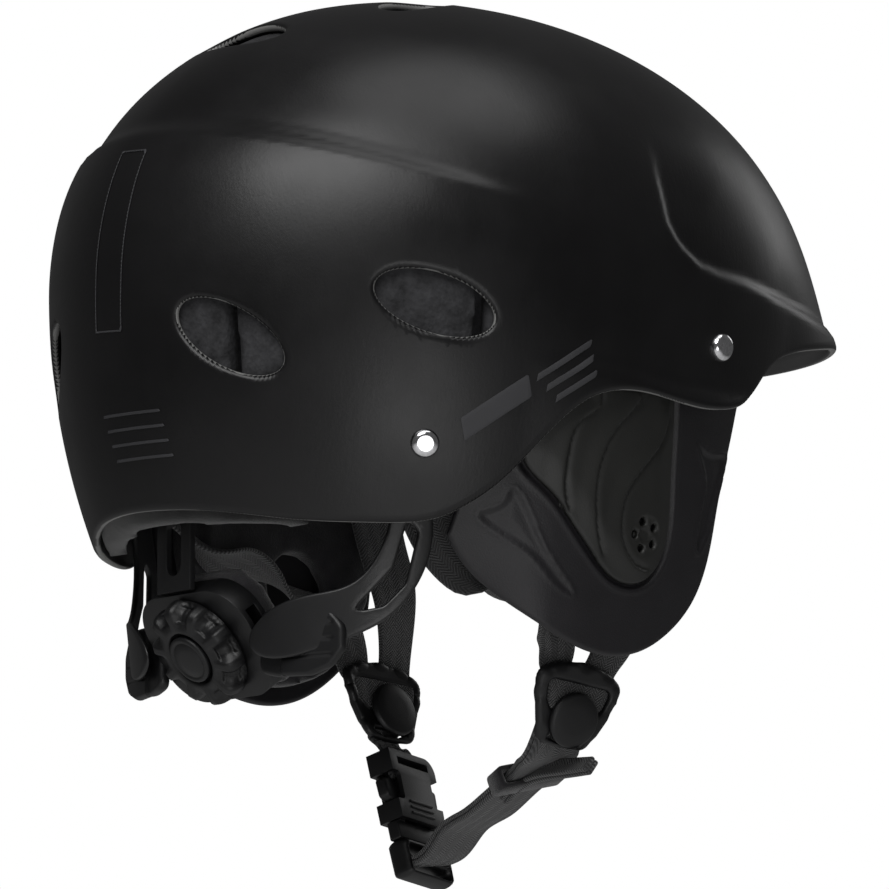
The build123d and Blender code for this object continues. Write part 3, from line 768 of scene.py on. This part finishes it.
# ---------------------------------------------------------------- outer shell
def make_shell():
    step, edge = 1.9, wall / 2
    rings = edge * (1 - np.cos(np.radians([0, 20, 40, 60, 90])))
    rings = np.append(rings, 2.7)
    t = np.linspace(-np.pi, np.pi, 560, endpoint=False)
    rim = rim_level(t)
    lateral = np.gradient(np.unwrap(t)) * reach(t)
    rise = (np.roll(rim, -1) - np.roll(rim, 1)) / 2
    size = np.hypot(lateral, rise)
    points, depth, borders = [], [], []
    for d in rings:
        shifted = t - d * rise / size / reach(t)
        level = rim + d * lateral / size
        ring = to_map(shifted, np.minimum(level, widest_z), np.ones(len(t)))
        if d == 0:
            borders.append(list(range(len(ring))))
        points += list(ring)
        depth += [d] * len(ring)
    solid = [shell_at(*from_map(np.array(points[: len(t)])))]
    for plane, tilt in vents:
        origin, x, y, normal = plane
        lean = np.radians(tilt)
        for d in rings:
            u, v = ((vent_length / 2 + d, vent_width / 2 + d) * round_loop(64)).T
            u, v = u * np.cos(lean) - v * np.sin(lean), u * np.sin(lean) + v * np.cos(lean)
            ring = onto_shell(origin + u[:, None] * x + v[:, None] * y, normal)
            if d == 0:
                borders.append(list(range(len(points), len(points) + len(ring))))
                solid.append(shell_at(*from_map(ring)))
            points += list(ring)
            depth += [d] * len(ring)
    rows = []
    for number, away in enumerate(np.arange(step / 2, crown_arc + widest_z + 12, step * 0.9)):
        z = from_map(np.array([[0, away]]))[1][0]
        around = 2 * np.pi * (away if away < 60 else 60 + (away - 60) * 0.54)
        count = max(int(around / step), 6)
        a = 2 * np.pi * (np.arange(count) + 0.5 * (number % 2)) / count
        rows.append(np.column_stack([-away * np.sin(a), away * np.cos(a)]))
    grid = np.vstack(rows)
    grid_t, grid_z, share = from_map(grid)
    keep = grid_z > np.interp(grid_t, t, rim) + 1
    grid = grid[keep]
    for border in borders[1:]:
        grid = grid[~inside(grid, np.array([points[i] for i in border]))]
    solid = np.vstack(solid)
    grid = grid[nearest(shell_at(*from_map(grid)), solid) > rings[-1] + 1.1]
    points += list(grid)
    depth += [far_inside] * len(grid)
    flat, triangles = triangulate(points, borders)
    surface = shell_at(*from_map(flat))
    depth = np.array(depth)
    vertices, faces, border = thicken(surface, triangles, depth, wall, edge)
    shell = finish_piece("shell", vertices, faces, shell_black, "shell", ("outer_shell",))
    # the faces along the rim and the vent borders take the light grey, a painted highlight
    shell.data.materials.append(rim_highlight_grey)
    every_depth = np.concatenate([depth, depth[~border]])
    on_painted_highlight = every_depth < highlight_band
    for polygon in shell.data.polygons:
        if on_painted_highlight[list(polygon.vertices)].all():
            polygon.material_index = 1
    return shell


highlight_band = 0.55  # width of the band along the rim and the vents that is painted light grey as a highlight
make_shell()

# ---------------------------------------------------------------- plain graphics on the shell
def shell_print(name, turn, level, outline, lean=0.0):
    """A thin printed shape, drawn on the shell in millimetres round a point of it."""
    t = np.radians(turn)
    width = float(reach(np.array([t]))[0])
    c, s = np.cos(np.radians(lean)), np.sin(np.radians(lean))

    def lift(flat):
        u, v = flat[:, 0] * c - flat[:, 1] * s, flat[:, 0] * s + flat[:, 1] * c
        return shell_at(t + u / width, level + v) * np.array([1.0022, 1.0022, 1])  # just proud of the shell

    plate(name, outline, lift, 0.16, 0.05, 1.2, print_grey, "shell")


def bar(length, height, slant=0.0):
    half, rise = length / 2, height / 2
    return np.array([(-half - slant, -rise), (half - slant, -rise), (half + slant, rise), (-half + slant, rise)])


shell_print("print_block", 67.8, 29, [bar(26, 6.6, 1.2)], 33)
for k in range(3):
    shell_print(f"print_bar_{k}", 79.6 + 1.1 * k, 44.5 - 3.9 * k, [bar(22 - 3 * k, 1.8, 0.8)], 33)
shell_print("print_frame", 2.6, 84.5, [bar(12.4, 58), bar(11.2, 56.8)], -3)
for k in range(4):
    shell_print(f"print_rule_{k}", 4.5 + 0.4 * k, 30 - 4.6 * k, [bar(26, 0.9)])

# ---------------------------------------------------------------- foam liner
for node in sorted(frame["nodes"]):
    if node.startswith("liner_"):
        soft_copy(node + "_foam", node, foam_grey, "shell", voxel=2.4, smooth=3)
soft_copy("nape_binding_cloth", "nape_binding", binding_black, "shell", voxel=2.0, smooth=3)

# ---------------------------------------------------------------- ear flaps
flap_inset, flap_thick, flap_lean, flap_knee = 5.5, 3.0, 0.0012, 36.0
ear_y, ear_z = -20.0, -6.0
flap_outline = [
    (43, -9), (39, -15), (29, -26), (19, -34), (5, -41), (-10, -44), (-23, -42), (-37, -34), (-47, -23),
    (-52, -11), (-55, 8), (-60, 34), (-62, 48),
]
flap_top = [(-62, 60), (-34, 62), (-26, 46), (12, 45), (28, 35), (38, 15), (42, 2)]
panel_edge = smooth_line(
    [(26.5, 15), (17, 5), (8, -4.5), (-2, -15), (-10, -20.5), (-18, -21.5), (-26, -17), (-30.5, -7),
     (-30.5, 12), (-29.5, 34), (-27, 43), (-10, 44.5), (8, 43), (20, 32)], 160, closed=True
)
# relief lines on the panel, each the upper edge of a step
panel_steps = [
    [(3.5, 42), (3.5, 31.4), (8.7, 27.7), (12.7, 17.2), (12.9, 7.7), (9.5, -2.5)],
    [(-16, 41), (-11.8, 34), (-5.6, 27.3), (0.4, 16.3), (1.7, 5.4), (-0.2, -5.6), (-4.6, -15.6)],
    [(-26.5, 37), (-24.8, 26), (-16.3, 14.6), (-10.3, 5.4), (-9.2, -3.3), (-11.6, -10.9), (-17.6, -15.9),
     (-25, -16.5)],
]
# leaf shapes sunk into the flap, in front of the panel and behind it
flap_leaves = [
    [(35.3, -1.7), (30.5, 0.5), (28.5, 5.1), (20, -6), (9, -21.5), (5.7, -26.3), (8.5, -25.6), (21.2, -14.5)],
    [(-41.9, 24.1), (-45.9, 15.8), (-46.2, 5), (-45.8, -9.3), (-50.5, -2), (-53.1, 8), (-55.5, 22.4), (-48, 22)],
]


def flap_reach(t, z):
    """The flaps hang from the shell's side: they follow it down to the knee, then drop nearly straight."""
    turn = np.abs(np.degrees(t))
    away = step_up(turn - 60, 22)
    knee, narrow = (1 - tuck * ((widest_z - level) / widest_z) ** 2 for level in (flap_knee, z))
    straight = np.where(z > flap_knee, narrow, knee - flap_lean * (flap_knee - z))
    return reach(t) * (narrow + (straight - narrow) * away)


def side_surface(side, reach_at):
    """Takes (y, z) in side view to a surface given by its distance from the axis."""

    def lift(flat):
        y, z = flat[:, 0], flat[:, 1]
        x = np.full(len(y), 90.0)
        for _ in range(30):
            out = reach_at(np.arctan2(x, y), z)
            x = 0.5 * x + 0.5 * np.sqrt(np.maximum(out**2 - y**2, 1))
        return np.column_stack([side * x, y, z])

    return lift


def signed_side(flat, line):
    """Distance to a line, positive on its left, and how far along it the nearest point lies."""
    line = smooth_line(line, 80)
    gap = flat[:, None, :] - line[None, :, :]
    size = np.linalg.norm(gap, axis=2)
    i = size.argmin(axis=1)
    ahead = np.gradient(line, axis=0)[i]
    nearest_gap = gap[np.arange(len(flat)), i]
    cross = ahead[:, 0] * nearest_gap[:, 1] - ahead[:, 1] * nearest_gap[:, 0]
    return np.sign(cross) * size.min(axis=1), i / 79


def flap_relief(flat):
    """Sunk leaves with crisp borders, and the trench that the panel sits in."""
    out = np.zeros(len(flat))
    for leaf in flap_leaves:
        border = smooth_line(leaf, 120, closed=True)
        gap = distance_to(flat, border)
        within = inside(flat, border)
        out -= np.where(within, 0.8 * step_up(gap, 1.9) * np.exp(-((gap / 5) ** 2)), 0)
        out += np.where(within, 0, 0.35 * np.exp(-((gap / 0.8) ** 2)))
    gap = distance_to(flat, panel_edge)
    within = inside(flat, panel_edge)
    trench = np.where(within, 1, 1 - step_up(gap - 0.5, 1.3))
    return out - 1.3 * trench + np.where(within, 0, 0.3 * np.exp(-(((gap - 2.2) / 0.8) ** 2)))


def panel_relief(flat):
    """Three swept steps over a pillowed panel, and a dished hub round the sound holes."""
    gap = distance_to(flat, panel_edge)
    out = 1.5 * step_up(gap, 9) ** 0.7
    for line in panel_steps:
        gap, along = signed_side(flat, line)
        near = step_up(along, 0.1) * (1 - step_up(along - 0.9, 0.1))
        ridge = 0.75 * (1 - step_up(gap, 7.0)) * step_up(gap + 0.2, 0.9)
        out += np.where(gap > -0.2, ridge, -0.75 * np.exp(-((gap / 1.5) ** 2))) * near
    hub = np.hypot(flat[:, 0] - ear_y, flat[:, 1] - ear_z)
    return out - 0.9 * (1 - step_up(hub - 1.8, 1.2)) - 0.4 * (1 - step_up(hub - 5.2, 1.4))


def sound_holes():
    """Five small holes round a hub."""
    count, ring_radius, hole_radius = 5, 4.2, 1.2
    circle = round_loop(20)
    turns = 2 * np.pi * np.arange(count) / count
    return [
        np.array([ear_y + ring_radius * np.cos(a), ear_z + ring_radius * np.sin(a)]) + hole_radius * circle
        for a in turns
    ]


for side, name in ((-1, "right"), (1, "left")):
    outline = np.vstack([smooth_line(flap_outline, 160), np.array(flap_top[1:])])
    flap_surface = side_surface(side, lambda t, z: flap_reach(t, z) - flap_inset)
    panel_surface = side_surface(side, lambda t, z: flap_reach(t, z) - flap_inset + 0.6)
    plate(f"flap_{name}", [outline], flap_surface, flap_thick, 1.3, 0.8, flap_black, "shell",
          (f"ear_flap_{name}",), flap_relief, side < 0)
    plate(f"panel_{name}", [panel_edge] + sound_holes(), panel_surface, 2.4, 1.1, 0.7, panel_olive, "shell",
          (f"ear_panel_{name}",), panel_relief, side < 0)
    soft_copy(f"ear_pad_{name}", f"ear_foam_{name}", lining_black, "shell", 2.2, 4, inflate=1.2)

# ---------------------------------------------------------------- nape cradle and dial
dial_tilt = np.radians(35)
dial_plane = local_frame((0, 85.7, -44.3), (-1, 0, 0), (0, np.cos(dial_tilt), -np.sin(dial_tilt)))


def scallop(a, r, h):
    """Ten finger hollows round the knob, deepest at its outer edge, each with fine ribs."""
    near = abs((a * 10 / (2 * np.pi) + 0.5) % 1 - 0.5) * 2
    if near > 0.66 or h < -7.5:
        return 0.0, 0.0
    hollow = (1 - (near / 0.66) ** 2) ** 0.5 * min(max((r - 10.5) / 5, 0), 1)
    rib = 0.22 * np.cos(near * 14) * min(max((r - 12) / 3, 0), 1)
    return (2.3 * hollow - rib * hollow) * (r > 14), 2.2 * hollow * (h > -6)


knob_profile = [
    (0.01, -8), (15.5, -8), (17.3, -7.9), (17.9, -7.4), (18, -6.2), (17.9, -5), (17.7, -3.6), (17.4, -2.6),
    (17.0, -1.8), (16.2, -1.1), (15.2, -0.8), (14.2, -0.7), (13.2, -0.7), (12.2, -0.7), (11.2, -0.7), (10.4, -0.75),
    (9.6, -0.8), (9.1, -1.1), (8.6, -2.0), (8.4, -3), (0.01, -3),
]
turned_solid("knob", dial_plane, knob_profile, nylon, "dial", ("dial_knob",), 160, scallop)
cap_profile = [
    (0.01, -3), (8, -3), (8.02, -0.9), (7.85, -0.35), (7.4, -0.05), (6.6, 0.0), (6.3, -0.25), (6.0, -0.25),
    (5.7, 0.05), (3, 0.3), (0.01, 0.4),
]
turned_solid("cap", dial_plane, cap_profile, nylon, "dial", ("dial_cap",), 72)

wing_arc = 136.0
paddle_outline = [
    (25.5, -50), (33, -51.5), (45, -51.8), (52, -49.5), (56.4, -44), (56.4, -37), (52, -31.5), (45, -29.2),
    (33, -29.4), (25.5, -31),
]


def wing_surface(flat):
    x, z = flat[:, 0], flat[:, 1]
    return np.column_stack([x, 80 - wing_arc + np.sqrt(wing_arc**2 - x**2), z])


def wing_relief(flat):
    """A raised field on the outer part of the wing, with three fine grooves across it."""
    along = np.abs(flat[:, 0])
    field = 0.8 * step_up(along - 34.4, 0.7)
    grooves = np.zeros(len(flat))
    for level in (-45.6, -40.6, -35.6):
        grooves += np.exp(-(((flat[:, 1] - level) / 0.45) ** 2))
    return field - 0.7 * grooves * step_up(along - 35.2, 0.5) * (1 - step_up(along - 52, 1.5))


for side, name in ((-1, "right"), (1, "left")):
    paddle = rounded([(side * x, z) for x, z in paddle_outline], 4)
    plate(f"paddle_{name}", [paddle], wing_surface, 3.8, 1.3, 0.6, nylon, "cradle",
          (f"wing_{name}",), wing_relief, True)

cradle_reach, cradle_half, cradle_power, band_thick = 85.0, 76.5, 2.4, 2.0
band_outline = [
    (80, -30), (68, -25), (60.5, -15), (58, -3), (60, 12), (60, 21), (54, 24.5), (48, 21), (47, 10), (45.5, -8),
    (49, -24), (57, -35), (70, -43), (80, -46),
]
band_window = [(66, -33), (56, -19), (53, -4), (50, -8), (52.5, -24), (58, -31)]
band_hole = (53.4, 19.6)  # where the rear rivet passes


def cradle_reach_at(t, z):
    c, s = np.abs(np.cos(t)) / cradle_reach, np.abs(np.sin(t)) / cradle_half
    return (c**cradle_power + s**cradle_power) ** (-1 / cradle_power) * (1 + 0.0012 * (z + 45))


rivet_hole = np.array(band_hole) + 3.4 * round_loop(24)
for side, name in ((-1, "right"), (1, "left")):
    edge_line = smooth_line(band_outline, 260, closed=True)
    plate(f"y_band_{name}", [edge_line, rounded(band_window, 2.2), rivet_hole],
          side_surface(side, cradle_reach_at), band_thick, 0.8, 1.0, band_plastic, "cradle",
          (f"band_{name}",), None, side < 0)

for node in ("dial_housing", "cradle_hanger", "hanger_stud"):
    eased(node, nylon, 0.5, 3)
soft_copy("nape_cushion", "nape_pad", lining_black, "cradle", 2.0, 4, inflate=1.5)

# ---------------------------------------------------------------- webbing
webbing, thick = 20.0, 1.6
divider_planes = {
    "right": local_frame((-62, -18, -55), (0, -1, -0.12), (-1, 0.05, -0.35)),
    "left": local_frame((60, -38, -42), (0, 1, 0.05), (1, 0.1, -0.3)),
}
strap_routes = {
    "rear_right": [(-68, 48.5, 15.5), (-63.5, 27, -14)],
    "front_right": [(-91, -41, 58), (-80, -41, 46), (-73, -40, 10), (-67, -36, -22)],
    "rear_left": [(67, 48.5, 15.5), (65, 30, 2), (66.5, 4, -6), (64.5, -16, -18)],
    "front_left": [(91, -41, 58), (80, -42, 46), (73, -46, 12), (66, -47, -10)],
}


def place_on(plane, x, y, z):
    origin, ex, ey, ez = plane
    return tuple(origin + ex * x + ey * y + ez * z)


for name, route in strap_routes.items():
    end, side = name.split("_")
    plane = divider_planes[side]
    x = 10 if (end == "front") == (side == "right") else -10
    inward = 0.3 if side == "right" else -0.3
    way = (inward, 0.85, 0.3) if end == "rear" else (0, 1, 0)
    # the straps run into the frame on the side away from its disc and are clamped there
    away = -1 if side == "right" else 1
    slot_way = plane[1] * (1 if np.dot(plane[1], way) > 0 else -1)
    lean = slot_way + plane[2] * (0.35 if x * np.dot(slot_way, plane[1]) > 0 else -0.35)
    under = 1.0 if end == "rear" else -0.9
    fold = [place_on(plane, x * 0.95, 14, 2.9 * away), place_on(plane, x * 0.8, 7.5, 2.9 * away + 0.4 * under),
            place_on(plane, x * 0.62, 3, 0.9 * away + under), place_on(plane, x * 0.5, -3, under)]
    ways = [way] * len(route) + [tuple(np.array(way) * 0.5 + lean * 0.5)] + [tuple(lean)] * 3
    widths = [webbing] * len(route) + [webbing, 17.5, 13, 11]
    ribbon(f"harness_{name}", route + fold, ways, widths, thick, "shell", (f"strap_{name}",))

divider_outline = rounded([
    (-17, 7.6), (-9.5, 11.4), (0, 12.6), (9.5, 11.4), (17, 7.6), (15.5, 0), (9.5, -15), (-9.5, -15), (-15.5, 0),
], 4.5)
divider_window = rounded([(-12.5, 5.6), (12.5, 5.6), (11, -1), (8, -4), (-8, -4), (-11, -1)], 2.5)
lock_disc, lock_drop = 8.9, 5.5
web_slot = rounded([(-6.5, -13.4), (6.5, -13.4), (6.5, -11), (-6.5, -11)], 0.9)


def frame_relief(flat):
    """The frame is crowned, and thickest along its upper arch."""
    return 0.9 * step_up(distance_to(flat, divider_outline), 3.5)


for name, plane in divider_planes.items():
    plate(f"y_frame_{name}", [divider_outline, divider_window, web_slot], on_plane(plane, 1.6), 3.2, 1.4, 0.7,
          nylon, "shell", (f"divider_{name}",), frame_relief)
    # the gathered webbing fills the frame's window
    plate(f"y_web_{name}", [divider_window * 1.06], on_plane(plane, 0.9), 1.6, 0.5, 0.9, webbing_black, "shell")
    lock_plane = (np.array(place_on(plane, 0, -lock_drop, 0)),) + plane[1:]
    half_profile = [
        (2.5, 2.3), (8, 2.4), (8.8, 2.9), (lock_disc, 3.8), (8.6, 4.5), (7.8, 4.9), (4, 5.2), (0.01, 5.3),
    ]
    lock_profile = [(r, -h) for r, h in half_profile[::-1]] + half_profile
    turned_solid(f"lock_{name}", lock_plane, lock_profile, nylon, f"lock_{name}",
                 (f"divider_lock_{name}",), 64)

# ---------------------------------------------------------------- buckle
hang = Vector((-15, 0, -44)).normalized()
buckle_across = Vector((0.3, -0.954, -0.1))
buckle_across = (buckle_across - hang * buckle_across.dot(hang)).normalized()
buckle = local_frame((55.5, -40.5, -62), buckle_across, hang.cross(buckle_across))
for node, width, segments in (("buckle_socket", 0.9, 3), ("buckle_clip", 0.5, 2), ("prong_front", 0.7, 2),
                              ("prong_rear", 0.7, 2)):
    eased(node, nylon, width, segments)
ladder = local_frame(buckle[0] + np.array(hang) * 37, buckle[1], buckle[3])
frame_edge = rounded([(-12.6, -6.5), (12.6, -6.5), (13, 6.5), (-13, 6.5)], 2.4)
slots = [rounded(bar(20.8, 2.6) + (0, y), 0.9) for y in (-3, 2)]
plate("ladder", [frame_edge] + slots, on_plane(ladder, 4.0), 8.0, 1.8, 0.7, nylon, "clip",
      ("ladder_lock",))

# grip ridges on the socket's outer faces
for face, height in (("inner", 5.0), ("outer", -4.0)):
    for k, y in enumerate((-17.5, -19.5, -21.5)):
        plate(f"socket_ridge_{face}_{k}", [rounded(bar(13, 1) + (0, y), 0.45)], on_plane(buckle, height), 1.0, 0.4,
              0.4, nylon, "shell")

left = divider_planes["left"]
ribbon("socket_web", [place_on(left, 0, -8.5, 2.9), place_on(left, 0, -14.6, 2.9), place_on(left, 0, -17.2, 0.8),
                      place_on(buckle, 0, -3.4, 0.3)],
       tuple(buckle_across), 16, 1.6, "shell", ("socket_loop",), 8)

# ---------------------------------------------------------------- chin strap
across_chin = (0.2, -0.93, 0.08)
chin_route = [
    (34.2, -40.7, -94.8), (20, -38, -88), (2, -34, -84), (-16, -29.8, -79), (-42, -23.2, -71.5), (-51, -18, -68),
]
right = divider_planes["right"]
chin_start = place_on(ladder, 0, 0.5, 1.0)
loop_end = [place_on(right, 0, -13.5, -3.6), place_on(right, 0, -8.5, -3.2)]
# the strap is doubled back through the ladder lock, so it shows as two layers
for layer, offset in (("inner", 0.85), ("outer", -0.85)):
    strap = ribbon(f"chin_web_{layer}", [chin_start] + chin_route[:5] + loop_end, across_chin, webbing, thick, None,
                   ("chin_strap",), 10, offset=offset * 1.05)
    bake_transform(strap)
tail_route = [(-17, -27, -81.5), (-29, -24.8, -76.8), (-41, -23.8, -75), (-53, -24.3, -74.9), (-63, -24.7, -75)]
# the spare end is folded in on itself, and stands on edge beside the strap
for layer, offset in (("near", 0.85), ("far", -0.85)):
    ribbon(f"strap_tail_{layer}", tail_route, (-0.15, -0.6, 0.75), [4, 6, 6.5, 6.5, 5.5], thick, "shell", (), 8,
           offset=offset)

before, after = np.array(chin_route[3]), np.array(chin_route[4])
keeper = local_frame((before + after) / 2, across_chin, after - before)
outer_ring, inner_ring = rounded(bar(25, 7.4), 2.2, 6), rounded(bar(21.2, 4.4), 1.2, 6)
keeper_profile = [(0.0, -4.0), (0.35, -4.5), (0.65, -4.5), (1.0, -4.0)]  # share of the outer ring, height
keeper_profile += [(share, -height) for share, height in keeper_profile[::-1]]
sections = []
for share, height in keeper_profile:
    shape = outer_ring * share + inner_ring * (1 - share)
    sections.append([keeper[0] + keeper[1] * u + keeper[2] * v + keeper[3] * height for u, v in shape])
tube("keeper_loop", sections, lining_black, "keeper", ("strap_keeper",), closed=True)

# ---------------------------------------------------------------- CAD nodes that stay as they are
for node in ("rivet_rear_right", "rivet_rear_left", "rivet_front_right", "rivet_front_left"):
    paint(frame["nodes"][node].data, chrome)
    shade_smooth(frame["nodes"][node].data)
for node in ("dial_pinion", "rack_right", "rack_left"):
    paint(frame["nodes"][node].data, nylon)

# ---------------------------------------------------------------- floor
# the camera looks up from below the helmet, so the floor lies well under both
reach_out, floor_z = 9, -0.75
corners = [(-reach_out, -reach_out), (reach_out, -reach_out), (reach_out, reach_out), (-reach_out, reach_out)]
floor_mesh = bpy.data.meshes.new("floor")
floor_mesh.from_pydata([(x, y, floor_z) for x, y in corners], [], [(0, 1, 2, 3)])
floor = bpy.data.objects.new("floor", floor_mesh)
floor_paint, _, floor_shader = node_material("floor_paint", 0.8)
floor_shader.inputs["Base Color"].default_value = (0.86, 0.86, 0.86, 1)
floor_mesh.materials.append(floor_paint)
scene.collection.objects.link(floor)
